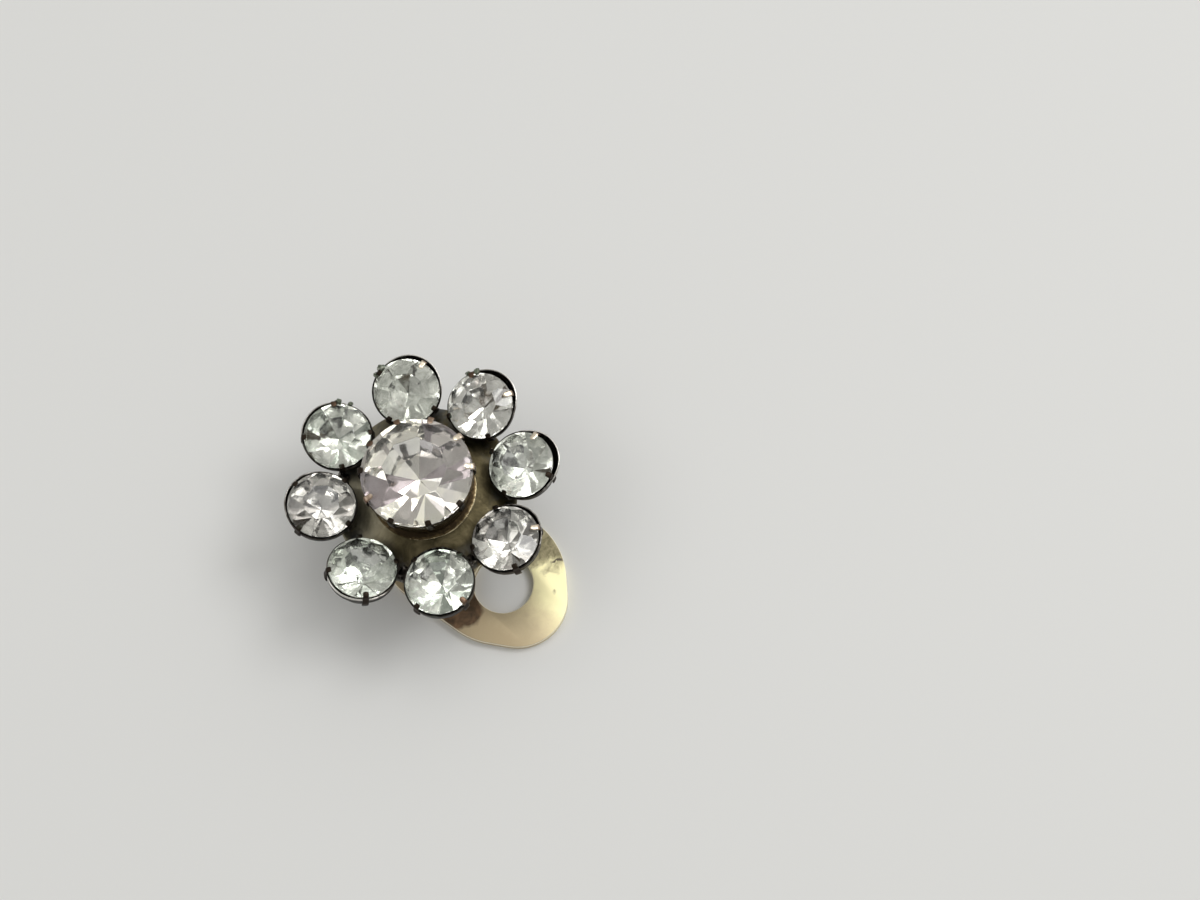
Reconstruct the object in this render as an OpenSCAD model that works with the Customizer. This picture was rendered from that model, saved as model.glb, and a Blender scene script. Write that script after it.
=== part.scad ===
// Clip-on flower earring with a raised round centre stone and a ring of eight smaller ones.
// Millimetres, +Z up. It lies on the flat outer face of its clip paddle, which is the plane z = 0.
// The flower's axis is the Z axis, and the paddle points towards -Y.

/* [Outer stones] */
// Diameter of an outer stone at its girdle
outer_d = 5.15; // [4.8:0.05:5.2]
// Height of an outer stone's crown above the girdle
outer_crown = 0.75; // [0.5:0.05:0.8]
// Thickness of an outer stone's girdle band
outer_girdle = 0.2; // [0.1:0.05:0.2]
// Depth of an outer stone's pavilion below the girdle
outer_pavilion = 2.2; // [2:0.1:2.2]
// Table width of an outer stone as a share of its diameter
outer_table = 0.52; // [0.4:0.02:0.6]
// Radius of the ring through the outer stones' centres
ring_r = 7.76; // [7.7:0.02:7.8]
// Height of the outer stones' girdles above the floor
outer_z = 8.75; // [8.7:0.05:8.8]
// Angle of the first outer stone, counted from +X
ring_turn = 51; // [45:1:55]

/* [Centre stone] */
// Diameter of the centre stone at its girdle
center_d = 8.4; // [8.2:0.05:8.5]
// Height of the centre stone's crown above the girdle
center_crown = 1.25; // [1:0.05:1.3]
// Thickness of the centre stone's girdle band
center_girdle = 0.25; // [0.15:0.05:0.25]
// Depth of the centre stone's pavilion below the girdle
center_pavilion = 3.6; // [3.3:0.1:3.6]
// Table width of the centre stone as a share of its diameter
center_table = 0.55; // [0.45:0.01:0.6]
// Height of the centre stone's girdle above the floor
center_z = 11.9; // [11.7:0.1:12.1]
// Turn of the centre stone's facets about its axis
center_turn = 14; // [0:1:44]

/* [Outer cups] */
// Radius of a cup's rim beyond its stone's girdle
cup_rim_out = 0.25; // [0.22:0.01:0.3]
// Depth of a cup's rim below the middle of the girdle
cup_rim_drop = 0.35; // [0.3:0.05:0.5]
// Depth of a cup's underside below the middle of the girdle
cup_depth = 2.6; // [2.55:0.01:2.65]
// Radius of a cup's flat underside
cup_foot_r = 1.5; // [1.3:0.1:1.6]
// Thickness of a cup's rim
cup_rim_t = 0.15; // [0.1:0.01:0.2]
// Angle from a cup's outward direction to each of its outer claws
cup_claw_angle = 43; // [40:1:45]
// Width of a cup's claw in degrees about the stone
cup_claw_arc = 11; // [9:1:13]
// Reach of a cup's claw over the crown
cup_claw_reach = 0.55; // [0.4:0.05:0.6]

/* [Centre collet] */
// Radius of the sharp gold rim at the collet's foot
rim_r = 4.15; // [4:0.05:4.3]
// Height of that rim above the floor
rim_z = 7.8; // [7.6:0.1:8]
// Radius of the collet at its waist
waist_r = 3.75; // [3.65:0.05:3.8]
// Width of a centre claw in degrees about the stone
center_claw_arc = 8; // [6:1:9]
// Reach of a centre claw over the crown
center_claw_reach = 0.65; // [0.5:0.05:0.75]

/* [Base plate] */
// Radius of the base plate
plate_r = 7.2; // [7.1:0.1:7.4]
// Height of the plate's underside above the floor
plate_z = 5.8; // [5.8:0.05:5.8]
// Thickness of the plate at its edge
plate_t = 0.55; // [0.5:0.05:0.6]
// Rise of the dome from the plate's edge to the collet
dome_rise = 0.7; // [0.5:0.1:0.8]
// Radius of a solder bead left between two cups
bead_r = 0.42; // [0.3:0.02:0.5]

/* [Clip] */
// Sideways offset of the clip's centre line from the flower's axis
clip_x = -0.95; // [-1.5:0.05:0]
// Distance of the hinge behind the flower's axis
hinge_y = 5; // [4.6:0.1:5]
// Height of the hinge above the floor
hinge_z = 1.5; // [1.4:0.1:1.6]
// Radius of the hinge pin
pin_r = 0.45; // [0.4:0.05:0.5]
// Radial play of the paddle on the pin
pin_play = 0.05; // [0.03:0.01:0.08]
// Outer radius of the paddle's hinge barrel
barrel_r = 1; // [0.9:0.05:1.1]
// Half length of the hinge barrel
barrel_half = 2.2; // [2:0.1:2.3]
// Radius of the rounded ends of the bracket's ears
ear_r = 1.2; // [1.1:0.05:1.2]
// Thickness of the bracket's sheet
sheet_t = 0.5; // [0.4:0.05:0.55]
// Length of the bracket's strip in front of the flower's axis
strip_front = 1.5; // [1:0.5:4]

/* [Paddle] */
// Thickness of the paddle
paddle_t = 0.8; // [0.6:0.05:0.9]
// Distance of the paddle's hole in front of the flower's axis
hole_y = 8.3; // [8:0.1:8.6]
// Radius of the paddle's hole
hole_r = 2.4; // [2:0.05:2.6]
// Distance of the paddle's tip in front of the flower's axis
tip_y = 14; // [13.8:0.1:14.4]
// Radius of the paddle's tip
tip_r = 4; // [3.4:0.1:4.4]
// Half width of the paddle beside its hole
paddle_half = 5.43; // [5.2:0.01:5.5]
// Half width of the paddle at its widest, under the flower
paddle_half_back = 5.65; // [5.5:0.05:5.7]
// Sideways lean of the paddle's worn outline: its sides shift one way and its tip the other
paddle_skew = 0.16; // [0:0.02:0.2]
// Half width of the paddle's neck between the ears
neck_half = 1.95; // [1.8:0.05:2]

/* [Hidden] */
$fn = 64;
eps = 0.01;

// One row for each outer stone, clockwise from the first: inward lean of its cup, turn of its claws
// and swing of the whole cup round the ring, in degrees
LEAN = 0;
TURN = 1;
SWING = 2;
seats = [
    [14, 3, -1],
    [14, 6, -1],
    [15, 5, 0],
    [11, 6, 0],
    [8, -5, 0],
    [21, 0, 0],
    [11, -4, 0],
    [8, -6, 2.5]
];
petals = len(seats);
petal_step = 360 / petals;
// Angles of the centre stone's claws, set by hand and so not quite even
center_claw_angles = [-46, -10, 26, 62, 98, 129, 160, 195, 234, 272];
// Gaps between neighbouring cups that hold a solder bead
bead_gaps = [2, 3, 4, 6];

// Running clearances between a stone and its metal, beside it and over it
stone_gap = 0.06;
claw_gap = 0.05;
claw_t = 0.22;

// A cut stone has eight main facets, so its girdle outline has sixteen corners
mains = 8;
main_step = 360 / mains;
half_main = cos(main_step / 2);

ear_in = barrel_half + 0.1;
ear_out = ear_in + sheet_t;
strip_z = plate_z - sheet_t;

function polar(r, a, z) = [r * cos(a), r * sin(a), z];
function ring_points(r, count, shift, z) =
    [for (k = [0 : count - 1]) polar(r, (k + shift) * 360 / count, z)];

// Height of the crown's main facet planes over a point at radius r between two of them
function crown_over(r, d, girdle, crown, table) =
    girdle / 2 + crown * (d / 2 - r * half_main) / (d / 2 * (1 - table));
// Radius that the pavilion's main facet planes reach at a depth below the girdle band
function pavilion_reach(depth, d, pavilion) =
    d / 2 * (1 - depth / pavilion) / half_main;

// Round brilliant cut stone about the middle of its girdle
module cut_stone(d, crown, girdle, pavilion, table, star, lower) {
    r = d / 2;
    table_r = r * table;
    star_r = table_r + (r - table_r) * star;
    lower_r = r * lower;
    star_z = girdle / 2 + crown * (r - star_r * half_main) / (r - table_r);
    lower_z = -girdle / 2 - pavilion * (1 - lower * half_main);
    stars = mains;
    top = 2 * mains;
    bottom = top + 2 * mains;
    lowers = bottom + 2 * mains;
    culet = lowers + mains;
    points = concat(
        ring_points(table_r, mains, 0, girdle / 2 + crown),
        ring_points(star_r, mains, 0.5, star_z),
        ring_points(r, 2 * mains, 0, girdle / 2),
        ring_points(r, 2 * mains, 0, -girdle / 2),
        ring_points(lower_r, mains, 0.5, lower_z),
        [[0, 0, -girdle / 2 - pavilion]]
    );
    steps = [0 : mains - 1];
    rounds = [0 : 2 * mains - 1];
    faces = concat(
        [[for (k = steps) mains - 1 - k]],
        [for (k = steps) [k, (k + 1) % mains, stars + k]],
        [for (k = steps) [stars + k, top + 2 * k, stars + (k + mains - 1) % mains, k]],
        [for (k = steps) [stars + k, top + 2 * k + 1, top + 2 * k]],
        [for (k = steps) [stars + k, top + (2 * k + 2) % (2 * mains), top + 2 * k + 1]],
        [for (j = rounds) [top + j, top + (j + 1) % (2 * mains), bottom + (j + 1) % (2 * mains), bottom + j]],
        [for (k = steps) [lowers + k, bottom + 2 * k, bottom + 2 * k + 1]],
        [for (k = steps) [lowers + k, bottom + 2 * k + 1, bottom + (2 * k + 2) % (2 * mains)]],
        [for (k = steps) [culet, lowers + (k + mains - 1) % mains, bottom + 2 * k, lowers + k]]
    );
    polyhedron(points, faces);
}

// Puts its children, drawn about a girdle's middle, into outer seat i
module at_seat(i) {
    rotate([0, 0, ring_turn - i * petal_step + seats[i][SWING]])
        translate([ring_r, 0, outer_z])
            rotate([0, -seats[i][LEAN], 0])
                rotate([0, 0, seats[i][TURN]])
                    children();
}

module outer_stone(i) {
    color("gainsboro")
        at_seat(i)
            cut_stone(outer_d, outer_crown, outer_girdle, outer_pavilion, outer_table, 0.5, 0.85);
}

module center_stone() {
    color("whitesmoke")
        translate([0, 0, center_z])
            rotate([0, 0, center_turn])
                cut_stone(center_d, center_crown, center_girdle, center_pavilion, center_table, 0.5, 0.85);
}

// Flat claw: it starts in the wall, stands beside the girdle and folds over the crown
module claw(d, girdle, crown, table, reach, arc, foot_z, foot_r, knee_r) {
    beside = d / 2 + stone_gap;
    tip_in = d / 2 - reach;
    tip_z = crown_over(tip_in, d, girdle, crown, table) + claw_gap;
    fold_z = crown_over(beside, d, girdle, crown, table) + claw_gap;
    rotate([0, 0, -arc / 2])
        rotate_extrude(angle = arc)
            polygon([
                [foot_r - claw_t, foot_z],
                [foot_r, foot_z],
                [knee_r, foot_z / 2],
                [beside + claw_t, fold_z],
                [beside + claw_t / 3, fold_z + claw_t],
                [tip_in, tip_z + claw_t * 0.8],
                [tip_in, tip_z],
                [beside, fold_z],
                [beside, foot_z / 2]
            ]);
}

// Turned cup with a thin flaring rim, a seat for the pavilion and four claws
module cup() {
    rim_out = outer_d / 2 + cup_rim_out;
    ledge_z = -cup_rim_drop - 0.45;
    ledge_r = pavilion_reach(-ledge_z - outer_girdle / 2, outer_d, outer_pavilion) + stone_gap;
    seat_floor = -outer_girdle / 2 - outer_pavilion - stone_gap;
    rotate_extrude()
        polygon([
            [0, -cup_depth],
            [cup_foot_r, -cup_depth],
            [cup_foot_r + 0.25, -cup_depth + 0.15],
            [rim_out - 0.2, ledge_z],
            [rim_out, -cup_rim_drop],
            [rim_out - cup_rim_t, -cup_rim_drop],
            [rim_out - 0.4, ledge_z],
            [ledge_r, ledge_z],
            [stone_gap, seat_floor],
            [0, seat_floor]
        ]);
    for (a = [cup_claw_angle, 180 - cup_claw_angle, 180 + cup_claw_angle, -cup_claw_angle])
        rotate([0, 0, a])
            claw(outer_d, outer_girdle, outer_crown, outer_table, cup_claw_reach, cup_claw_arc,
                -cup_rim_drop - 0.6, rim_out - 0.06, rim_out + 0.08);
}

// Base plate: thin rounded edge and a low dome
module base_plate() {
    edge_top = plate_z + plate_t;
    rotate_extrude()
        polygon([
            [0, plate_z],
            [plate_r - 0.15, plate_z],
            [plate_r, plate_z + 0.15],
            [plate_r - 0.05, edge_top - 0.12],
            [plate_r - 0.3, edge_top],
            [plate_r * 0.75, edge_top + dome_rise * 0.35],
            [rim_r + 0.15, edge_top + dome_rise * 0.75],
            [waist_r, edge_top + dome_rise],
            [0, edge_top + dome_rise]
        ]);
}

// Waisted collet with the gold rim at its foot and the flat claws at its top
module center_collet() {
    seat_z = center_z - center_girdle / 2 - 0.33;
    seat_r = pavilion_reach(0.33, center_d, center_pavilion);
    lip_r = center_d / 2 + 0.05;
    cone_foot = center_z - center_girdle / 2 - center_pavilion - stone_gap;
    rotate_extrude()
        polygon([
            [0, plate_z + plate_t],
            [waist_r - 0.1, plate_z + plate_t],
            [waist_r - 0.1, rim_z - 0.2],
            [rim_r - 0.05, rim_z - 0.06],
            [rim_r, rim_z],
            [rim_r - 0.05, rim_z + 0.06],
            [waist_r + 0.12, rim_z + 0.16],
            [waist_r, rim_z + 1],
            [waist_r + 0.06, center_z - 1.9],
            [waist_r + 0.3, center_z - 1.15],
            [lip_r - 0.03, center_z - 0.75],
            [lip_r, seat_z],
            [lip_r - 0.25, seat_z],
            [seat_r - 0.35, seat_z - 0.3],
            [stone_gap, cone_foot],
            [0, cone_foot]
        ]);
    translate([0, 0, center_z])
        for (a = center_claw_angles)
            rotate([0, 0, a])
                claw(center_d, center_girdle, center_crown, center_table, center_claw_reach,
                    center_claw_arc, -1.25, waist_r + 0.45, lip_r + 0.2);
}

module solder_beads() {
    for (i = bead_gaps)
        rotate([0, 0, ring_turn - (i + 0.5) * petal_step])
            translate([plate_r - 0.65, 0, plate_z + plate_t + bead_r * 0.5])
                sphere(r = bead_r);
}

module flower_frame() {
    color("darkolivegreen")
        union() {
            base_plate();
            center_collet();
            solder_beads();
            for (i = [0 : petals - 1])
                at_seat(i)
                    cup();
        }
}

// Places children on the clip's centre line
module on_clip() {
    translate([clip_x, 0, 0])
        children();
}

// Cylinder along X, centred on the hinge
module hinge_rod(r, half) {
    translate([-half, hinge_y, hinge_z])
        rotate([0, 90, 0])
            cylinder(r = r, h = 2 * half);
}

// Stamped strip under the plate with two ears down to the hinge
module clip_bracket() {
    pin_seat = pin_r + 0.02;
    ear_half = ear_r * 0.85;
    color("darkkhaki")
        on_clip()
            difference() {
                union() {
                    translate([-ear_out, -strip_front, strip_z])
                        cube([2 * ear_out, strip_front + hinge_y + ear_half, sheet_t]);
                    for (x = [-ear_out, ear_in])
                        translate([x, hinge_y, hinge_z])
                            rotate([90, 0, 90])
                                linear_extrude(sheet_t) {
                                    circle(r = ear_r);
                                    translate([-ear_half, 0])
                                        square([2 * ear_half, strip_z - hinge_z + eps]);
                                }
                }
                hinge_rod(pin_seat, ear_out + 1);
            }
}

module hinge_pin() {
    color("tan")
        on_clip()
            hinge_rod(pin_r, ear_out + 0.15);
}

// Angle of the outer tangent on the right of two circles, from the first to the second
function tangent_angle(c1, r1, c2, r2) =
    atan2(c2[1] - c1[1], c2[0] - c1[0]) - acos((r1 - r2) / norm(c2 - c1));
function arc_points(c, r, from, to, steps) =
    [for (k = [0 : steps]) c + r * [cos(from + (to - from) * k / steps), sin(from + (to - from) * k / steps)]];

// One side of the paddle's outline from the tip to the neck, drawn to the right:
// side is 1 for the true right side and -1 for the left one before it is mirrored
function paddle_side(side) =
    let(
        side_r = 6,
        back_r = 3.5,
        tip = [-side * paddle_skew, tip_r - tip_y],
        flank = [paddle_half + side * paddle_skew - side_r, 0.8 - hole_y],
        back = [paddle_half_back - back_r, -2.3],
        neck = [neck_half, 2.9],
        tip_end = tangent_angle(tip, tip_r, flank, side_r),
        side_end = tangent_angle(flank, side_r, back, back_r),
        back_end = tangent_angle(back, back_r, neck, 0)
    )
    concat(
        arc_points(tip, tip_r, -90, tip_end, 12),
        arc_points(flank, side_r, tip_end, side_end, 10),
        arc_points(back, back_r, side_end, back_end, 10),
        [neck, [neck_half, hinge_y]]
    );

// Rounded-shield outline of the paddle
module paddle_outline() {
    right = paddle_side(1);
    left = paddle_side(-1);
    polygon(concat(
        right,
        [for (k = [len(left) - 1 : -1 : 1]) [-left[k][0], left[k][1]]]
    ));
}

module clip_paddle() {
    color("palegoldenrod")
        on_clip()
            difference() {
                union() {
                    linear_extrude(paddle_t)
                        paddle_outline();
                    hinge_rod(barrel_r, barrel_half);
                }
                translate([0, -hole_y, -1])
                    cylinder(r = hole_r, h = paddle_t + 2);
                hinge_rod(pin_r + pin_play, barrel_half + 1);
            }
}

flower_frame();
center_stone();
for (i = [0 : petals - 1])
    outer_stone(i);
clip_bracket();
hinge_pin();
clip_paddle();
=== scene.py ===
import math
import random

import bmesh
import bpy
from mathutils import Matrix, Vector, geometry, noise


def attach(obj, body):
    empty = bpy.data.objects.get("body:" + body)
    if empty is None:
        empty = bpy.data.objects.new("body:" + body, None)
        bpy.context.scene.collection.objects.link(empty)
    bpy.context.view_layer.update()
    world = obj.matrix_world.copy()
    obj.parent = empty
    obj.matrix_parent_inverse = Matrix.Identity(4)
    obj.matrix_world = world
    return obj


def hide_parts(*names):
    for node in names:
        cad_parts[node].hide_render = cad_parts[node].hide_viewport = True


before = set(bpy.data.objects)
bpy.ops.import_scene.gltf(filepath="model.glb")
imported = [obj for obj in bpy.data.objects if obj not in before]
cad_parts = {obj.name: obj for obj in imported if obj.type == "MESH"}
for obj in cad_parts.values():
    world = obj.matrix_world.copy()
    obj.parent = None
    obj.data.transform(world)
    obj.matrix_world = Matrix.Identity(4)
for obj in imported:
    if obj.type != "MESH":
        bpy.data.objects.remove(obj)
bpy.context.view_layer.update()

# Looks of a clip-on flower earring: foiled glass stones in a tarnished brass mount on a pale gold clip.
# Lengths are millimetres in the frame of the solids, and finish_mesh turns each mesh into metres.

MM = 0.001

# Ring of outer stones
PETALS = 8
RING_R = 7.76
RING_Z = 8.75
RING_TURN = 51
# Inward lean, turn of the claws and swing round the ring of each outer seat, in degrees
SEATS = [(14, 3, -1), (14, 6, -1), (15, 5, 0), (11, 6, 0),
         (8, -5, 0), (21, 0, 0), (11, -4, 0), (8, -6, 2.5)]
# Worn side of each cup's rim, in degrees from outward, how far it is bent out there, and its
# brightness, which is wear and painted highlight
RIMS = [(-30, 0.22, 1.0), (-12, 0.3, 0.9), (8, 0.34, 1.1), (78, 0.16, 0.6),
        (188, 0.1, 0.3), (5, 0, 1.1), (-42, 0.12, 0.5), (0, 0.12, 0.6)]
# Outer stones whose foil is neutral grey; the others' is greenish
GREY_STONES = (1, 3, 6)
# Dullness of each outer stone's foil: the power that its tones are raised to
FOIL_DULL = [0.3, 0.4, 0.4, 2.3, 1.3, 1, 2, 1.2]
# Wear and painted highlight of the two outward claws of each seat: 0 is black, 1 is worn bright and
# highlighted
CLAW_WEAR_AND_HIGHLIGHT = [(0.0, 0.85), (0.3, 0.95), (0.95, 0.1), (0.8, 0.0),
             (0.4, 0.0), (0.1, 0.0), (0.0, 0.0), (0.0, 0.3)]
# A cut: its diameter d, heights of crown, girdle and pavilion, radii of the table, of the apexes of the
# girdle corners and of the lower breaks as shares of the stone's, and half a corner's width in degrees
OUTER_CUT = dict(d=5.15, crown=0.75, girdle=0.2, pavilion=2.2,
                 table=0.54, corner=6, apex=0.8, lower=0.85)

# Centre stone
CENTER_Z = 11.9
CENTER_TURN = 14
CENTER_CUT = dict(d=8.4, crown=1.25, girdle=0.25, pavilion=3.6,
                  table=0.57, corner=6, apex=0.8, lower=0.85)
# Brightness of the foil under each eighth of the centre stone, counted from its own +X
CENTER_TONES = [0.25, 0.7, 0.95, 0.1, 1.0, 0.9, 0.55, 0.2]
# Angle, wear with painted highlight, and reach of each claw of the centre stone
CENTER_CLAWS = [(-46, 0.95, 0.6), (-10, 0.85, 0.6), (26, 0.6, 0.45), (62, 0.4, 0.3), (98, 0.3, 0.3),
                (129, 0.1, 0.3), (160, 0.6, 0.55), (195, 0.1, 0.2), (234, 0.1, 0.25), (272, 0.1, 0.25)]

# Seeds of the random draws for each outer stone's facets, for its foil and for its claws
CUT_SEED = 20
FOIL_SEED = 60
CLAW_SEED = 40

# Base plate, the gold rim at the collet's foot, and the collet's waist
PLATE_R = 7.2
PLATE_Z = 5.8
PLATE_T = 0.55
DOME_RISE = 0.7
RIM_R = 4.15
RIM_Z = 7.8
WAIST_R = 3.75

# Hinge pin, which lies along X
HINGE = (-0.95, 5, 1.5)
PIN_R = 0.45
PIN_HALF = 2.95

# Edges sharper than this many degrees stay sharp, on metal and on lumps
SMOOTH = 40
SMOOTH_LUMP = 60

# Two directions across the part: the base plate is pale towards one, the paddle olive towards the other
PALE_WAY = (-0.63, 0.78, 0)
OLIVE_WAY = (0.78, 0.63, 0)

# Soft lights: name, degrees round from +X and up, size in metres, and brightness; all are this far off
LIGHTS = [("key", -33, 52, (0.22, 0.16), 6),
          ("soft", 11, 66, (0.26, 0.2), 1.6),
          ("fill", 129, 50, (0.32, 0.24), 1.35)]
LIGHT_AWAY = 0.5

# Camera of the photograph: degrees round and up, place in metres, and lens in millimetres
CAMERA_TURN = 309
CAMERA_RISE = 72.15
CAMERA_PLACE = (-0.0150037, -0.0297266, 0.1117707)
LENS = 42


def about_z(degrees):
    """Turn about the Z axis."""
    return Matrix.Rotation(math.radians(degrees), 4, "Z")


def seat(i):
    """Place of outer seat i, whose origin is the middle of its stone's girdle."""
    lean, turn, swing = SEATS[i]
    return (about_z(RING_TURN - i * 360 / PETALS + swing)
            @ Matrix.Translation((RING_R, 0, RING_Z))
            @ Matrix.Rotation(math.radians(-lean), 4, "Y")
            @ about_z(turn))


# Node helpers

def new_material(name):
    """A node material with just its shader and output."""
    mat = bpy.data.materials.new(name)
    mat.use_nodes = True
    return mat, mat.node_tree, mat.node_tree.nodes["Principled BSDF"]


def put(tree, kind, links=None, values=None, **settings):
    """Adds a node, sets its properties and its inputs, and returns it."""
    node = tree.nodes.new(kind)
    for key, value in settings.items():
        setattr(node, key, value)
    for key, value in (values or {}).items():
        node.inputs[key].default_value = value
    for key, socket in (links or {}).items():
        tree.links.new(socket, node.inputs[key])
    return node


def millimetres(tree):
    """Object coordinates in millimetres."""
    place = put(tree, "ShaderNodeTexCoord").outputs["Object"]
    node = put(tree, "ShaderNodeVectorMath", {0: place}, {"Scale": 1 / MM}, operation="SCALE")
    return node.outputs[0]


def times(tree, place, factors):
    """Coordinates stretched by a factor along each axis."""
    node = put(tree, "ShaderNodeVectorMath", {0: place}, {1: factors}, operation="MULTIPLY")
    return node.outputs[0]


def along(tree, place, way):
    """How far a place is along a direction."""
    node = put(tree, "ShaderNodeVectorMath", {0: place}, {1: way}, operation="DOT_PRODUCT")
    return node.outputs["Value"]


def painted(tree, name):
    """The number that the mesh carries under a name."""
    return put(tree, "ShaderNodeAttribute", attribute_name=name).outputs["Fac"]


def speckle(tree, place, scale, detail, rough, warp=0.0):
    """Noise between 0 and 1; scale counts its cells in a millimetre."""
    values = {"Scale": scale, "Detail": detail, "Roughness": rough, "Distortion": warp}
    return put(tree, "ShaderNodeTexNoise", {"Vector": place}, values).outputs["Fac"]


def ramp(tree, fac, stops):
    """Colour ramp through (position, colour) stops."""
    node = put(tree, "ShaderNodeValToRGB", {"Fac": fac})
    marks = node.color_ramp.elements
    while len(marks) < len(stops):
        marks.new(0.5)
    for mark, (position, colour) in zip(marks, stops):
        mark.position = position
        mark.color = (*colour, 1)
    return node.outputs["Color"]


def span(tree, value, low, high, to_low=0.0, to_high=1.0):
    """Maps low to high onto to_low to to_high, clamped."""
    values = {"From Min": low, "From Max": high, "To Min": to_low, "To Max": to_high}
    return put(tree, "ShaderNodeMapRange", {"Value": value}, values).outputs["Result"]


def near(tree, place, spot, inner, outer):
    """Mask that is 1 within inner of a spot and 0 beyond outer."""
    node = put(tree, "ShaderNodeVectorMath", {0: place}, {1: spot}, operation="DISTANCE")
    return span(tree, node.outputs["Value"], inner, outer, 1.0, 0.0)


def maths(tree, operation, a, b):
    """One Math node on two sockets or numbers."""
    node = put(tree, "ShaderNodeMath", operation=operation)
    for slot, item in enumerate((a, b)):
        if isinstance(item, (int, float)):
            node.inputs[slot].default_value = item
        else:
            tree.links.new(item, node.inputs[slot])
    return node.outputs[0]


def mixed(tree, fac, a, b):
    """Blend of two colours, each a socket or an RGB tuple."""
    node = put(tree, "ShaderNodeMix", {"Factor": fac}, data_type="RGBA")
    for slot, item in ((6, a), (7, b)):
        if isinstance(item, tuple):
            node.inputs[slot].default_value = (*item, 1)
        else:
            tree.links.new(item, node.inputs[slot])
    return node.outputs[2]


def bump(tree, bsdf, height, strength, distance=0.00005):
    """Links a height to the shader's normal; distance is in metres."""
    node = put(tree, "ShaderNodeBump", {"Height": height}, {"Strength": strength, "Distance": distance})
    tree.links.new(node.outputs["Normal"], bsdf.inputs["Normal"])


# Materials

def glass_material():
    """Clear glass of the crowns, a little greasy and scratched."""
    mat, tree, bsdf = new_material("stone_glass")
    place = millimetres(tree)
    film = speckle(tree, place, 1.3, 5.0, 0.6, 0.4)
    tree.links.new(span(tree, film, 0.52, 0.8, 0.0, 0.03), bsdf.inputs["Roughness"])
    bsdf.inputs["Base Color"].default_value = (0.97, 0.98, 0.975, 1)
    bsdf.inputs["Transmission Weight"].default_value = 1
    bsdf.inputs["IOR"].default_value = 1.56
    return mat


def foil_material(name, stops, cells, rough, wave, patina=0.0, metallic=0.97):
    """Silver foil behind the glass, wavy and tinted by the mesh's tone, with patches of patina."""
    mat, tree, bsdf = new_material(name)
    place = millimetres(tree)
    drift = span(tree, speckle(tree, place, cells, 2.0, 0.5, 0.3), 0.3, 0.7, -0.2, 0.2)
    tint = ramp(tree, maths(tree, "ADD", painted(tree, "tone"), drift), stops)
    bsdf.inputs["Roughness"].default_value = rough
    bsdf.inputs["Metallic"].default_value = metallic
    if patina:
        worn = span(tree, speckle(tree, place, 1.1, 4.0, 0.55, 0.5), 0.48, 0.7, 0.0, patina)
        tint = mixed(tree, worn, tint, (0.3, 0.33, 0.27))
        tree.links.new(span(tree, worn, 0.0, 1.0, rough, 0.42), bsdf.inputs["Roughness"])
    tree.links.new(tint, bsdf.inputs["Base Color"])
    bump(tree, bsdf, speckle(tree, place, 1.4, 2.0, 0.4), wave, 0.0002)
    return mat


def plate_material():
    """Old brass of the base plate: olive brown, worn bright in spots, greyed by solder towards the
    ring.
    """
    mat, tree, bsdf = new_material("plate_brass")
    place = millimetres(tree)
    tone = ramp(tree, speckle(tree, place, 0.55, 6.0, 0.62, 0.6), [
        (0.3, (0.036, 0.029, 0.014)),
        (0.5, (0.082, 0.067, 0.034)),
        (0.72, (0.2, 0.165, 0.09))])
    pale = span(tree, along(tree, place, PALE_WAY), 2.0, 5.0, 0.0, 0.95)
    tone = mixed(tree, pale, tone, (0.34, 0.31, 0.22))
    flat = times(tree, place, (1, 1, 0))
    radius = put(tree, "ShaderNodeVectorMath", {0: flat}, operation="LENGTH").outputs["Value"]
    patches = maths(tree, "MULTIPLY", span(tree, radius, 5.0, 6.4),
                    span(tree, speckle(tree, place, 0.7, 4.0, 0.6), 0.42, 0.58))
    tree.links.new(mixed(tree, patches, tone, (0.12, 0.12, 0.112)), bsdf.inputs["Base Color"])
    grain = speckle(tree, place, 5.0, 6.0, 0.7)
    tree.links.new(span(tree, grain, 0.3, 0.7, 0.26, 0.5), bsdf.inputs["Roughness"])
    bsdf.inputs["Metallic"].default_value = 0.9
    bump(tree, bsdf, grain, 0.35)
    return mat


def collet_material():
    """Glossy brown lacquer-like tarnish of the centre collet, with turning marks round it."""
    mat, tree, bsdf = new_material("collet_brown")
    place = millimetres(tree)
    turned = speckle(tree, times(tree, place, (0.12, 0.12, 6.0)), 1.0, 4.0, 0.6)
    tone = ramp(tree, speckle(tree, place, 0.9, 5.0, 0.6, 0.5), [
        (0.35, (0.035, 0.024, 0.012)),
        (0.55, (0.1, 0.07, 0.035)),
        (0.75, (0.24, 0.18, 0.09))])
    tree.links.new(tone, bsdf.inputs["Base Color"])
    tree.links.new(span(tree, turned, 0.3, 0.7, 0.16, 0.4), bsdf.inputs["Roughness"])
    bsdf.inputs["Metallic"].default_value = 0.85
    bump(tree, bsdf, turned, 0.3)
    return mat


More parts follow.
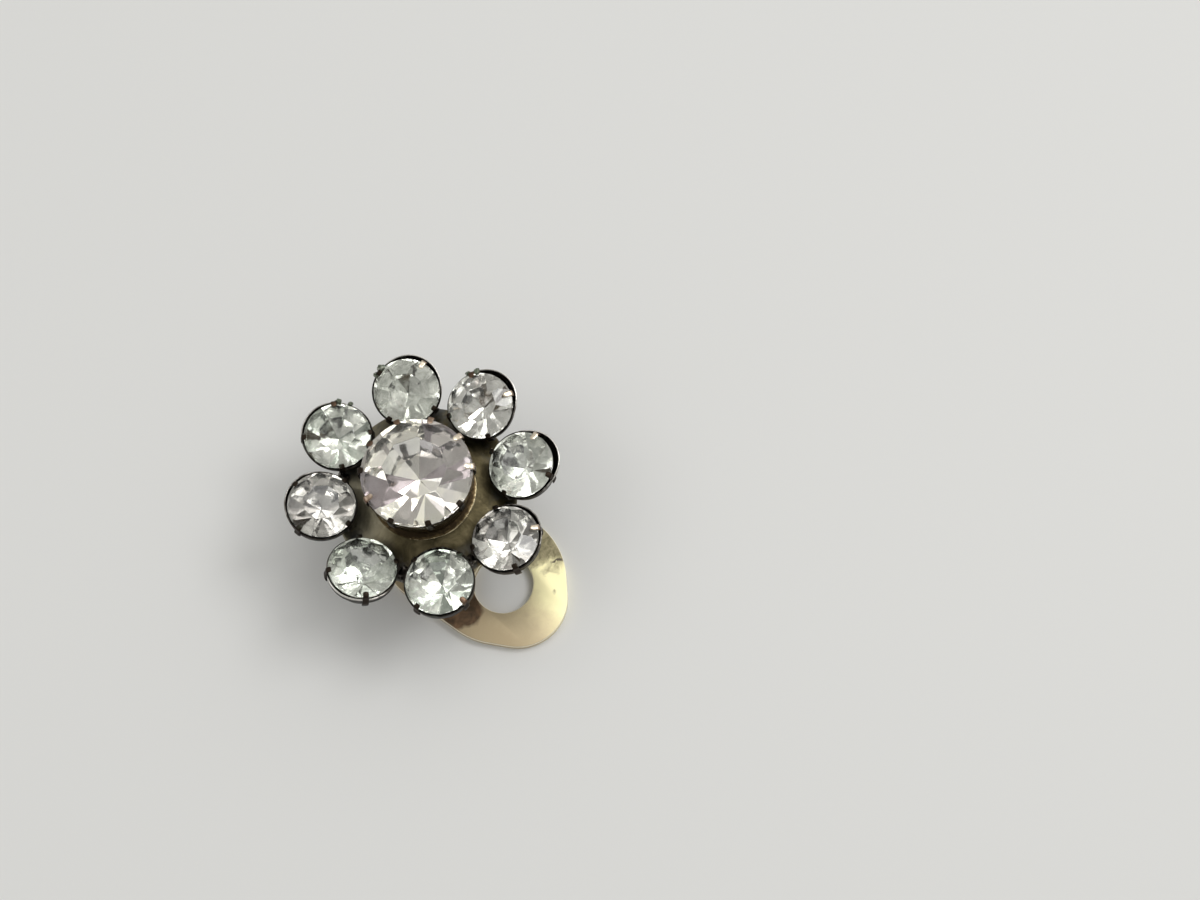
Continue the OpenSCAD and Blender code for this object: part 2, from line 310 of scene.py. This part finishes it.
def worn_highlit_metal(name, dark, mid, bright, verdigris=0.0, rough=(0.2, 0.5), mottle=0.35):
    """Tarnished metal, bright where the mesh marks it as worn and, on rims and claws, painted with a
    highlight, with green spots.

    rough is the roughness of worn metal and of tarnished metal."""
    mat, tree, bsdf = new_material(name)
    place = millimetres(tree)
    grain = speckle(tree, place, 2.2, 6.0, 0.65, 0.5)
    # The mesh's number holds how worn it is and, on rims and claws, a painted highlight
    level = maths(tree, "ADD", painted(tree, "wear_and_highlight"), span(tree, grain, 0.25, 0.75, -mottle, mottle))
    tone = ramp(tree, level, [(0.12, dark), (0.5, mid), (0.92, bright)])
    bsdf.inputs["Metallic"].default_value = 0.95
    if verdigris:
        spots = span(tree, speckle(tree, place, 1.1, 5.0, 0.65), 0.56, 0.66)
        green = maths(tree, "MULTIPLY", spots, verdigris)
        tone = mixed(tree, green, tone, (0.13, 0.19, 0.14))
        tree.links.new(span(tree, green, 0.0, 1.0, 0.95, 0.1), bsdf.inputs["Metallic"])
    tree.links.new(tone, bsdf.inputs["Base Color"])
    tree.links.new(span(tree, level, 0.1, 0.9, rough[1], rough[0]), bsdf.inputs["Roughness"])
    bump(tree, bsdf, grain, 0.3)
    return mat


def paddle_material():
    """Pale gold plating with painted highlights on its rounded edges, a painted dark reflection of a
    cup, and two marks.

    It is painted darker to one side and paler to the other, as shade and highlight, and olive under the
    flower."""
    mat, tree, bsdf = new_material("paddle_gold")
    place = millimetres(tree)
    cloud = speckle(tree, place, 0.9, 6.0, 0.6, 0.4)
    drift = span(tree, cloud, 0.3, 0.7, -0.9, 0.9)

    # Gold painted from shade towards -X to highlight towards +X, and olive tarnish under the flower
    half_drift = maths(tree, "MULTIPLY", drift, 0.5)
    painted_light_side = maths(tree, "ADD", along(tree, place, (0.99, -0.1, 0)), half_drift)
    gold = ramp(tree, span(tree, painted_light_side, -3.2, 1.5), [
        (0.0, (0.5, 0.4, 0.25)),
        (0.45, (0.6, 0.5, 0.32)),
        (0.68, (0.74, 0.64, 0.4)),
        (1.0, (0.97, 0.9, 0.54))])
    olive = ramp(tree, speckle(tree, place, 1.8, 6.0, 0.62, 0.6), [
        (0.34, (0.2, 0.175, 0.095)),
        (0.5, (0.33, 0.29, 0.17)),
        (0.66, (0.47, 0.42, 0.26))])
    under = span(tree, maths(tree, "ADD", along(tree, place, OLIVE_WAY), drift), -5.0, -3.8)
    aged = mixed(tree, under, gold, olive)

    # Painted dark reflection of the nearby cup, a nick and a small mark, made ragged by noise that
    # shifts their coordinates up to a millimetre
    shift = put(tree, "ShaderNodeTexNoise", {"Vector": place}, {"Scale": 1.1, "Detail": 3.0})
    node = put(tree, "ShaderNodeVectorMath", {0: place, 1: shift.outputs["Color"]}, operation="ADD")
    jagged = node.outputs[0]
    # Dark brown of the painted reflection of the cup that stands beside the paddle
    brown = ramp(tree, cloud, [(0.38, (0.085, 0.055, 0.03)), (0.62, (0.22, 0.13, 0.07))])
    aged = mixed(tree, near(tree, jagged, (-4.1, -6.4, 1.4), 1.5, 1.85), aged, brown)
    slit = put(tree, "ShaderNodeMapping", {"Vector": jagged},
               {"Location": (3.75, -10.05, 1.4), "Rotation": (0, 0, -0.92), "Scale": (0.62, 0.09, 2.0)},
               vector_type="TEXTURE").outputs[0]
    nick = near(tree, slit, (0, 0, 0), 0.6, 1.2)
    mark = maths(tree, "MULTIPLY", near(tree, jagged, (1.64, -11.49, 1.3), 0.05, 0.25), 0.6)
    aged = mixed(tree, maths(tree, "MAXIMUM", nick, mark), aged, (0.12, 0.1, 0.07))

    # Painted highlight where an edge rounds over
    facing = put(tree, "ShaderNodeTexCoord").outputs["Normal"]
    flat = maths(tree, "ABSOLUTE", put(tree, "ShaderNodeSeparateXYZ", {0: facing}).outputs["Z"], 0)
    rubbed_and_highlit = maths(tree, "MULTIPLY", span(tree, flat, 0.94, 0.8, 0.0, 0.85),
                   span(tree, flat, 0.05, 0.35))
    aged = mixed(tree, rubbed_and_highlit, aged, (1.0, 0.95, 0.78))
    tree.links.new(aged, bsdf.inputs["Base Color"])

    fine = speckle(tree, place, 6.0, 5.0, 0.6)
    rough = maths(tree, "ADD", span(tree, fine, 0.3, 0.7, 0.48, 0.56),
                  maths(tree, "MULTIPLY", under, 0.06))
    tree.links.new(rough, bsdf.inputs["Roughness"])
    bsdf.inputs["Metallic"].default_value = 0.55
    bump(tree, bsdf, fine, 0.05)
    return mat


def plain_metal(name, low, high, rough):
    """Dull metal of the hidden parts, mottled between two tones."""
    mat, tree, bsdf = new_material(name)
    place = millimetres(tree)
    grain = speckle(tree, place, 1.2, 6.0, 0.65, 0.4)
    tree.links.new(ramp(tree, grain, [(0.35, low), (0.65, high)]), bsdf.inputs["Base Color"])
    tree.links.new(span(tree, grain, 0.3, 0.7, rough + 0.1, rough - 0.08), bsdf.inputs["Roughness"])
    bsdf.inputs["Metallic"].default_value = 1
    bump(tree, bsdf, speckle(tree, place, 6.0, 5.0, 0.7), 0.2)
    return mat


def floor_material():
    """Plain pale floor."""
    mat, _, bsdf = new_material("floor_pale")
    bsdf.inputs["Base Color"].default_value = (0.72, 0.72, 0.71, 1)
    bsdf.inputs["Roughness"].default_value = 0.6
    bsdf.inputs["Specular IOR Level"].default_value = 0.2
    return mat


GLASS = glass_material()
OUTER_FOIL = foil_material(
    "outer_foil", [(0.0, (0.56, 0.6, 0.55)), (0.4, (0.9, 0.92, 0.87)), (1.0, (1.0, 1.0, 0.96))],
    cells=0.6, rough=0.09, wave=0.12, patina=0.4)
GREY_FOIL = foil_material(
    "grey_foil", [(0.0, (0.58, 0.56, 0.54)), (0.4, (0.86, 0.85, 0.82)), (1.0, (1.0, 0.99, 0.96))],
    cells=0.6, rough=0.09, wave=0.1, patina=0.2)
CENTER_FOIL = foil_material(
    "center_foil", [(0.0, (0.55, 0.5, 0.5)), (0.4, (0.8, 0.77, 0.78)),
                    (0.7, (0.97, 0.95, 0.9)), (1.0, (1.0, 0.98, 0.9))],
    cells=0.28, rough=0.06, wave=0.03, metallic=0.9)
PLATE = plate_material()
COLLET = collet_material()
CLAW = worn_highlit_metal(
    "claw_copper", dark=(0.03, 0.022, 0.016), mid=(0.24, 0.15, 0.1), bright=(0.95, 0.84, 0.68),
    verdigris=0.35, mottle=0.15)
CUP = worn_highlit_metal(
    "cup_grey", dark=(0.02, 0.017, 0.014), mid=(0.07, 0.06, 0.05), bright=(0.6, 0.58, 0.54),
    verdigris=0.25)
RIM = worn_highlit_metal(
    "rim_gold", dark=(0.03, 0.02, 0.01), mid=(0.12, 0.085, 0.04), bright=(1.0, 0.86, 0.56))
CRUST = worn_highlit_metal(
    "crust_green", dark=(0.05, 0.06, 0.04), mid=(0.2, 0.22, 0.17), bright=(0.62, 0.62, 0.56),
    verdigris=0.8, rough=(0.4, 0.8))
PADDLE = paddle_material()
BRACKET = plain_metal("bracket_brass", (0.28, 0.235, 0.13), (0.46, 0.39, 0.23), 0.36)
PIN = plain_metal("pin_steel", (0.22, 0.2, 0.17), (0.5, 0.48, 0.44), 0.3)


# Mesh helpers

def finish_mesh(name, bm, materials, smooth_angle=None):
    """Turns a mesh in millimetres into an object in metres at the origin."""
    bmesh.ops.scale(bm, vec=(MM, MM, MM), verts=bm.verts)
    bmesh.ops.recalc_face_normals(bm, faces=bm.faces)
    mesh = bpy.data.meshes.new(name)
    bm.to_mesh(mesh)
    bm.free()
    for mat in materials:
        mesh.materials.append(mat)
    if smooth_angle is not None:
        mesh.shade_smooth()
        mesh.set_sharp_from_angle(angle=math.radians(smooth_angle))
    obj = bpy.data.objects.new(name, mesh)
    bpy.context.scene.collection.objects.link(obj)
    return obj


def rounded(profile, radius):
    """Replaces each inner corner of an open profile with a short three-point curve."""
    made = [Vector(profile[0])]
    for before, corner, after in zip(profile, profile[1:], profile[2:]):
        p, c, q = Vector(before), Vector(corner), Vector(after)
        cut_in = min(radius, (p - c).length * 0.45)
        cut_out = min(radius, (q - c).length * 0.45)
        start = c + (p - c).normalized() * cut_in
        end = c + (q - c).normalized() * cut_out
        made += [start, start * 0.25 + c * 0.5 + end * 0.25, end]
    made.append(Vector(profile[-1]))
    return made


def finer(profile, step):
    """Splits the long segments of a profile."""
    made = [profile[0]]
    for p, q in zip(profile, profile[1:]):
        parts = max(1, math.ceil((q - p).length / step))
        made += [p.lerp(q, k / parts) for k in range(1, parts + 1)]
    return made


def wear_highlight_layer(bm):
    """The number on each point that says how worn it is and how much highlight is painted on it, made
    if it isn't there.
    """
    return bm.verts.layers.float.get("wear_and_highlight") or bm.verts.layers.float.new("wear_and_highlight")


def lathe(bm, profile, place, segments, shift=None, wear_and_highlight=None):
    """Turns a profile of (radius, height) about its Z axis; shift moves a point, and the last argument
    marks how worn it is and how much highlight is painted on it.
    """
    layer = wear_highlight_layer(bm)
    rings = []
    for r, z in profile:
        count = 1 if r < 1e-6 else segments
        ring = []
        for k in range(count):
            a = 2 * math.pi * k / segments
            p = Vector((r * math.cos(a), r * math.sin(a), z))
            if shift:
                p += shift(p)
            vert = bm.verts.new(place @ p)
            vert[layer] = wear_and_highlight(p) if wear_and_highlight else 0.5
            ring.append(vert)
        rings.append(ring)
    for low, high in zip(rings, rings[1:]):
        for k in range(segments):
            n = (k + 1) % segments
            quad = [low[k % len(low)], low[n % len(low)], high[n % len(high)], high[k % len(high)]]
            corners = list(dict.fromkeys(quad))
            if len(corners) > 2:
                bm.faces.new(corners)


def strip(bm, path, widths, thicks, wear_highlights, place):
    """Flat bar with rounded sides along a path in the XZ plane, its ends closed."""
    layer = wear_highlight_layer(bm)
    sides = 12
    section = []
    for k in range(sides):
        t = 2 * math.pi * (k + 0.5) / sides
        section.append([math.copysign(abs(part) ** 0.6, part) for part in (math.cos(t), math.sin(t))])
    rings = []
    for k, p in enumerate(path):
        ahead = (path[min(k + 1, len(path) - 1)] - path[max(k - 1, 0)]).normalized()
        across = Vector((0, 1, 0))
        normal = ahead.cross(across)
        ring = []
        for u, v in section:
            spot = p + across * (u * widths[k] / 2) + normal * (v * thicks[k] / 2)
            vert = bm.verts.new(place @ spot)
            vert[layer] = wear_highlights[k]
            ring.append(vert)
        rings.append(ring)
    for low, high in zip(rings, rings[1:]):
        for k in range(sides):
            n = (k + 1) % sides
            bm.faces.new([low[k], low[n], high[n], high[k]])
    bm.faces.new(rings[0])
    bm.faces.new(rings[-1][::-1])


def smooth_path(points, parts=4):
    """Smooth curve through the points, with parts steps in each span."""
    ends = [points[0] * 2 - points[1], *points, points[-1] * 2 - points[-2]]
    made = []
    for a, b, c, d in zip(ends, ends[1:], ends[2:], ends[3:]):
        for k in range(parts):
            t = k / parts
            made.append(0.5 * (2 * b + (c - a) * t + (2 * a - 5 * b + 4 * c - d) * t * t
                               + (3 * b - a - 3 * c + d) * t ** 3))
    made.append(points[-1])
    return made


# Stones

# Angle of an eighth of a stone, and an octagon's inner radius as a share of its outer radius
EIGHTH = math.pi / 4
OCTAGON_IN = math.cos(math.pi / 8)
# Sides of a girdle, how close points merge, and a crown's fine bevel as a share of its stone's diameter
GIRDLE_SIDES = 64
MERGE = 0.02
FINE_BEVEL = 0.005


def facets(d, crown, girdle, pavilion, table, corner, apex, lower):
    """Three points on every facet but the table: mains and corners above, mains and breaks below."""
    r = d / 2
    top = girdle / 2
    table_z = top + crown
    apex_z = top + crown * (r - r * apex * OCTAGON_IN) / (r - r * table * OCTAGON_IN)
    lower_z = -top - pavilion * (1 - lower * OCTAGON_IN)
    culet = Vector((0, 0, -top - pavilion))
    half_corner = corner / 45

    def at(radius, eighths, z):
        """Point at a radius, an angle counted in eighths of a turn, and a height."""
        a = EIGHTH * eighths
        return Vector((radius * math.cos(a), radius * math.sin(a), z))

    made = []
    for k in range(8):
        mid = k + 0.5
        made.append([at(r * table, k - 0.5, table_z), at(r, k, top), at(r * table, mid, table_z)])
        made.append([at(r * apex, mid, apex_z),
                     at(r, mid - half_corner, top), at(r, mid + half_corner, top)])
        made.append([culet, at(r / OCTAGON_IN, mid, -top), at(r / OCTAGON_IN, k - 0.5, -top)])
        for side in (0, 0.5):
            made.append([at(r * lower, mid, lower_z),
                         at(r, k + side + 0.5, -top), at(r, k + side, -top)])
    return made


def cut_stone(name, cut, place, foil, seed, play, tones):
    """Cuts a round stone facet by facet out of a disc.

    play tilts each facet a little, as by hand, and tones gives the brightness of the foil under each
    eighth of the pavilion."""
    rng = random.Random(seed)
    r = cut["d"] / 2
    top = cut["girdle"] / 2 + cut["crown"]
    base = -cut["girdle"] / 2 - cut["pavilion"]
    in_girdle = cut["girdle"] * 0.2
    bm = bmesh.new()
    bmesh.ops.create_cone(bm, cap_ends=True, segments=GIRDLE_SIDES, radius1=r, radius2=r,
                          depth=top - base)
    bmesh.ops.translate(bm, vec=(0, 0, (top + base) / 2), verts=bm.verts)
    for points in facets(**cut):
        centre = sum(points, Vector()) / len(points)
        normal = geometry.normal(points)
        if normal.dot(centre) < 0:
            normal = -normal
        normal += Vector([rng.uniform(-play, play) for _ in range(3)])
        parts = bm.verts[:] + bm.edges[:] + bm.faces[:]
        made = bmesh.ops.bisect_plane(bm, geom=parts, dist=1e-5, plane_co=centre,
                                      plane_no=normal.normalized(), clear_outer=True)
        rim = [e for e in made["geom_cut"] if isinstance(e, bmesh.types.BMEdge)]
        if len(rim) > 2:
            bmesh.ops.edgeloop_fill(bm, edges=rim)
    bmesh.ops.remove_doubles(bm, verts=bm.verts, dist=MERGE)
    bmesh.ops.recalc_face_normals(bm, faces=bm.faces)
    crown_edges = [e for e in bm.edges
                   if min(v.co.z for v in e.verts) > in_girdle and len(e.link_faces) == 2]
    bmesh.ops.bevel(bm, geom=crown_edges, offset=cut["d"] * FINE_BEVEL, segments=1, affect="EDGES",
                    clamp_overlap=True)
    layer = bm.faces.layers.float.new("tone")
    for face in bm.faces:
        low = min(v.co.z for v in face.verts)
        face.material_index = 1 if low < -in_girdle else 0
        middle = face.calc_center_median()
        face[layer] = tones[round(math.atan2(middle.y, middle.x) / EIGHTH) % 8]
    bmesh.ops.transform(bm, matrix=place, verts=bm.verts)
    return finish_mesh(name, bm, [GLASS, foil])


center_place = Matrix.Translation((0, 0, CENTER_Z)) @ about_z(CENTER_TURN)
stone = cut_stone("stone_center", CENTER_CUT, center_place, CENTER_FOIL, seed=3, play=0.008,
                  tones=CENTER_TONES)
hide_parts("center_stone")
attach(stone, "flower")
for i in range(PETALS):
    rng = random.Random(FOIL_SEED + i)
    tones = [rng.uniform(0.0, 1.0) ** FOIL_DULL[i] for _ in range(8)]
    foil = GREY_FOIL if i in GREY_STONES else OUTER_FOIL
    stone = cut_stone(f"stone_{i + 1}", OUTER_CUT, seat(i), foil, seed=CUT_SEED + i, play=0.02,
                      tones=tones)
    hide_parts(f"outer_stone_{i + 1}")
    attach(stone, "flower")


# Mount

def claw(bm, cut, foot, reach, width, shine, place, rng):
    """Flat claw from its foot, (radius, height), up the girdle and over the crown, tilted a little."""
    edge = cut["d"] / 2
    beside = edge + 0.12
    tip = edge - reach

    def crown_z(r):
        """Height of the crown over a point at radius r."""
        return cut["girdle"] / 2 + cut["crown"] * (edge - r * OCTAGON_IN) / (edge * (1 - cut["table"]))

    bend = edge - 0.12
    middle = (edge + tip) / 2 - 0.06
    points = [(foot[0], foot[1]),
              ((foot[0] + beside) / 2 + 0.1, foot[1] / 2),
              (beside, 0),
              (beside - 0.03, crown_z(edge) + 0.1),
              (bend, crown_z(bend) + 0.15),
              (middle, crown_z(middle) + 0.13),
              (tip, crown_z(tip) + 0.1)]
    path = smooth_path([Vector((x, 0, z)) for x, z in points])
    last = len(path) - 1
    widths, thicks, wear_highlights = [], [], []
    for k in range(last + 1):
        t = k / last
        end = min(1, (last - k + 0.35) / 3)
        widths.append(width * (1.12 - 0.3 * t) * math.sqrt(end))
        thicks.append(0.15 * (0.5 + 0.5 * end))
        # Brightness along the claw, worn and painted with a highlight, grows towards the tip
        wear_highlights.append(shine * max(0, min(1, (t - 0.3) / 0.3)))
    strip(bm, path, widths, thicks, wear_highlights, place @ Matrix.Rotation(rng.uniform(-0.06, 0.06), 4, "X"))


def cups():
    """Eight turned cups with thin worn rims that carry painted highlights, and their claws."""
    rim_out = OUTER_CUT["d"] / 2 + 0.2
    ledge_z = -0.8
    floor_z = -2.36
    profile = [(0, -2.6), (1.5, -2.6), (1.75, -2.45), (rim_out - 0.15, ledge_z),
               (rim_out - 0.02, -0.3), (rim_out, -0.12), (rim_out - 0.09, -0.1),
               (rim_out - 0.14, -0.3), (rim_out - 0.4, ledge_z), (1.97, ledge_z),
               (0.1, floor_z), (0, floor_z)]
    metal, claws = bmesh.new(), bmesh.new()
    for i in range(PETALS):
        side, bend, shine = RIMS[i]
        toward = Vector((math.cos(math.radians(side)), math.sin(math.radians(side)), 0))

        def dent(p, i=i, toward=toward, bend=bend):
            """The wall is dented a little, and the rim bent out on its worn side, where a highlight is
            painted, and in elsewhere.
            """
            swing = noise.noise(Vector((p.x * 0.45, p.y * 0.45, i * 7.3)))
            outward = Vector((p.x, p.y, 0)).normalized() if p.xy.length > 0.1 else Vector()
            near_side = max(0, outward.dot(toward)) ** 2.5
            flare = (bend * near_side - 0.06 * (1 - near_side)) * max(0, min(1, (p.z - ledge_z) / 0.45))
            return outward * (swing * 0.06 * min(1, p.xy.length / 2.5) + flare)

        def rubbed_and_highlit(p, toward=toward, shine=shine):
            """Wear and a painted highlight grow up to the rim, most of all on its worn side."""
            outward = Vector((p.x, p.y, 0)).normalized()
            return max(0.05, min(1, (p.z + 0.42) / 0.26)) * (0.2 + shine * max(0, outward.dot(toward)))

        lathe(metal, finer(rounded(profile, 0.05), 0.4), seat(i), segments=72, shift=dent, wear_and_highlight=rubbed_and_highlit)
        rng = random.Random(CLAW_SEED + i)
        left, right = CLAW_WEAR_AND_HIGHLIGHT[i]
        # The outward claws are worn and painted with a highlight; the inner two stay dark
        for a, worn in ((43, left), (137, 0.0), (223, 0.0), (317, right)):
            claw(claws, OUTER_CUT, foot=(rim_out - 0.11, -0.95), reach=0.22 + 0.33 * worn, width=0.46,
                 shine=worn, place=seat(i) @ about_z(a + rng.uniform(-1.5, 1.5)), rng=rng)
    return [finish_mesh("cups", metal, [CUP], SMOOTH), finish_mesh("cup_claws", claws, [CLAW], SMOOTH)]


def base_plate():
    """Thin domed plate with a soft edge and shallow dents."""
    edge = PLATE_Z + PLATE_T
    profile = [(0, PLATE_Z), (PLATE_R - 0.15, PLATE_Z), (PLATE_R, PLATE_Z + 0.15),
               (PLATE_R - 0.05, edge - 0.12), (PLATE_R - 0.3, edge),
               (PLATE_R * 0.75, edge + DOME_RISE * 0.35), (RIM_R + 0.15, edge + DOME_RISE * 0.75),
               (WAIST_R, edge + DOME_RISE), (0, edge + DOME_RISE)]

    def dent(p):
        """Shallow dents, up and down."""
        return Vector((0, 0, 0.05 * noise.noise(p * 0.5) * min(1, p.xy.length)))

    bm = bmesh.new()
    lathe(bm, finer(rounded(profile, 0.12), 0.35), Matrix.Identity(4), segments=128, shift=dent)
    return finish_mesh("base_plate", bm, [PLATE], SMOOTH)


def collet():
    """Waisted collet, its gold rim and its claws."""
    girdle_z = CENTER_Z - CENTER_CUT["girdle"] / 2
    seat_z = girdle_z - 0.33
    foot_z = PLATE_Z + 0.6
    floor_z = CENTER_Z - 3.785
    lip_r = CENTER_CUT["d"] / 2 + 0.05
    wall = [(0, foot_z), (WAIST_R - 0.1, foot_z), (WAIST_R - 0.1, RIM_Z - 0.2), (WAIST_R, RIM_Z + 1),
            (WAIST_R + 0.06, CENTER_Z - 1.9), (WAIST_R + 0.3, CENTER_Z - 1.15),
            (lip_r - 0.03, CENTER_Z - 0.75), (lip_r, girdle_z - 0.12), (lip_r - 0.01, girdle_z - 0.05),
            (lip_r - 0.05, girdle_z - 0.05), (lip_r - 0.2, seat_z), (3.86, seat_z - 0.3),
            (0.1, floor_z), (0, floor_z)]
    rim = [(WAIST_R - 0.3, RIM_Z - 0.3), (WAIST_R, RIM_Z - 0.2), (RIM_R - 0.05, RIM_Z - 0.06),
           (RIM_R, RIM_Z), (RIM_R - 0.05, RIM_Z + 0.06), (WAIST_R + 0.12, RIM_Z + 0.16),
           (WAIST_R - 0.3, RIM_Z + 0.3)]
    bm = bmesh.new()
    lathe(bm, finer(rounded(wall, 0.05), 0.5), Matrix.Identity(4), segments=128)
    made = [finish_mesh("collet", bm, [COLLET], SMOOTH)]

    def gilt_and_highlight(p):
        """Gold shows at the outer edge, with a painted highlight that makes it brightest on one side.
        """
        edge = min(1, max(0.1, (p.xy.length - RIM_R + 0.12) / 0.08))
        # Painted highlight, strongest on the side that faces the light
        side = max(0, Vector((0.45, -0.89)).dot(p.xy.normalized())) ** 0.5
        return edge * (0.45 + 0.55 * side)

    bm = bmesh.new()
    lathe(bm, rounded([*rim, rim[0]], 0.03), Matrix.Identity(4), segments=160, wear_and_highlight=gilt_and_highlight)
    bmesh.ops.remove_doubles(bm, verts=bm.verts, dist=1e-4)
    made.append(finish_mesh("collet_rim", bm, [RIM], SMOOTH))
    bm = bmesh.new()
    rng = random.Random(5)
    for a, shine, reach in CENTER_CLAWS:
        claw(bm, CENTER_CUT, foot=(WAIST_R + 0.34, -1.25), reach=reach, width=0.5, shine=shine,
             place=Matrix.Translation((0, 0, CENTER_Z)) @ about_z(a), rng=rng)
    made.append(finish_mesh("center_claws", bm, [CLAW], SMOOTH))
    return made


def lump(bm, centre, size, rng):
    """Irregular blob of solder or crust, a fifth less tall than wide."""
    layer = wear_highlight_layer(bm)
    made = bmesh.ops.create_icosphere(bm, subdivisions=3, radius=1)["verts"]
    start = Vector([rng.uniform(-50, 50) for _ in range(3)])
    reach = (size, size, size * 0.8)
    for vert in made:
        swell = 1 + 0.45 * noise.noise(vert.co * 1.6 + start) + 0.15 * noise.noise(vert.co * 5 + start)
        vert[layer] = 0.45 + 0.5 * noise.noise(vert.co * 2.2 + start)
        vert.co = centre + Vector([vert.co[k] * reach[k] * swell for k in range(3)])


def solder():
    """Solder left between neighbouring cups."""
    bm = bmesh.new()
    rng = random.Random(8)
    for i, size in ((2, 0.4), (3, 0.42), (4, 0.62), (6, 0.42)):
        turn = about_z(RING_TURN - (i + 0.5) * 360 / PETALS)
        centre = turn @ Vector((PLATE_R - 0.65, 0, PLATE_Z + PLATE_T + 0.16))
        lump(bm, centre, size, rng)
    return finish_mesh("solder", bm, [CUP], SMOOTH_LUMP)


def crust():
    """Green crust on the rims of three cups."""
    bm = bmesh.new()
    rng = random.Random(12)
    spots = [(0, 34, 0.3), (0, 48, 0.22), (1, 34, 0.26), (1, 49, 0.2), (7, -52, 0.26), (7, -72, 0.2)]
    for i, a, size in spots:
        lump(bm, seat(i) @ about_z(a) @ Vector((2.72, 0, 0.12)), size, rng)
    return finish_mesh("crust", bm, [CRUST], SMOOTH_LUMP)


for piece in [base_plate(), *collet(), *cups(), solder(), crust()]:
    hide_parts("flower_frame")
    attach(piece, "flower")


# Clip: the bracket and the paddle keep the solids' shapes, with soft edges and finer materials

def dress(node, mat, edge):
    """Gives a carried-over node its material and a bevel of edge millimetres on its sharp edges."""
    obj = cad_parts[node]
    obj.data.materials.clear()
    obj.data.materials.append(mat)
    weld = obj.modifiers.new("weld", "WELD")
    weld.merge_threshold = 1e-6
    flat = obj.modifiers.new("flat_faces", "DECIMATE")
    flat.decimate_type = "DISSOLVE"
    flat.angle_limit = math.radians(0.5)
    soft = obj.modifiers.new("soft_edges", "BEVEL")
    soft.width = edge * MM
    soft.segments = 3
    soft.limit_method = "ANGLE"
    soft.angle_limit = math.radians(40)
    soft.use_clamp_overlap = True
    soft.harden_normals = True
    obj.data.shade_smooth()
    obj.data.set_sharp_from_angle(angle=math.radians(35))


def hinge_pin():
    """Pin with rounded ends."""
    bm = bmesh.new()
    profile = [(0, -PIN_HALF), (0.24, -PIN_HALF), (PIN_R, 0.14 - PIN_HALF),
               (PIN_R, PIN_HALF - 0.14), (0.24, PIN_HALF), (0, PIN_HALF)]
    place = Matrix.Translation(HINGE) @ Matrix.Rotation(math.pi / 2, 4, "Y")
    lathe(bm, rounded(profile, 0.08), place, segments=48)
    return finish_mesh("pin", bm, [PIN], SMOOTH)


dress("clip_bracket", BRACKET, 0.08)
dress("clip_paddle", PADDLE, 0.14)
pin = hinge_pin()
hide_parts("hinge_pin")
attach(pin, "flower")


# Stage: pale floor, soft light, and the camera of the photograph

def area_light(name, turn, rise, size, radiance):
    """Soft light that faces the part."""
    a, e = math.radians(turn), math.radians(rise)
    spot = LIGHT_AWAY * Vector((math.cos(a) * math.cos(e), math.sin(a) * math.cos(e), math.sin(e)))
    data = bpy.data.lights.new(name, "AREA")
    data.shape = "RECTANGLE"
    data.size, data.size_y = size
    data.energy = radiance * math.pi * size[0] * size[1]
    obj = bpy.data.objects.new(name, data)
    bpy.context.scene.collection.objects.link(obj)
    obj.location = spot
    obj.rotation_euler = (-spot).to_track_quat("-Z", "Y").to_euler()


def stage():
    """Floor, a sky that is brighter on one side, and the lights."""
    bm = bmesh.new()
    bmesh.ops.create_circle(bm, cap_ends=True, segments=96, radius=1500)
    finish_mesh("floor", bm, [floor_material()])
    world = bpy.data.worlds.new("studio")
    world.use_nodes = True
    tree = world.node_tree
    sky = tree.nodes["Background"]
    sky.inputs["Color"].default_value = (1, 0.995, 0.96, 1)
    way = put(tree, "ShaderNodeTexCoord").outputs["Generated"]
    bright = span(tree, along(tree, way, (0.57, -0.06, 0.82)), 0.6, 0.97, 0.42, 0.95)
    shade = span(tree, along(tree, way, (-0.24, -0.19, 0.95)), 0.9, 0.97, 1.0, 0.75)
    tree.links.new(maths(tree, "MULTIPLY", bright, shade), sky.inputs["Strength"])
    bpy.context.scene.world = world
    bpy.context.scene.view_settings.view_transform = "Standard"
    for light in LIGHTS:
        area_light(*light)


def camera():
    """The photograph's view."""
    a, e = math.radians(CAMERA_TURN), math.radians(CAMERA_RISE)
    back = Vector((math.sin(a) * math.cos(e), -math.cos(a) * math.cos(e), math.sin(e)))
    right = Vector((math.cos(a), math.sin(a), 0))
    up = back.cross(right)
    data = bpy.data.cameras.new("camera")
    data.sensor_width = 36
    data.lens = LENS
    data.clip_start, data.clip_end = 0.01, 20
    obj = bpy.data.objects.new("camera", data)
    bpy.context.scene.collection.objects.link(obj)
    turn = Matrix((right, up, back)).transposed().to_4x4()
    obj.matrix_world = Matrix.Translation(CAMERA_PLACE) @ turn
    bpy.context.scene.camera = obj


stage()
camera()
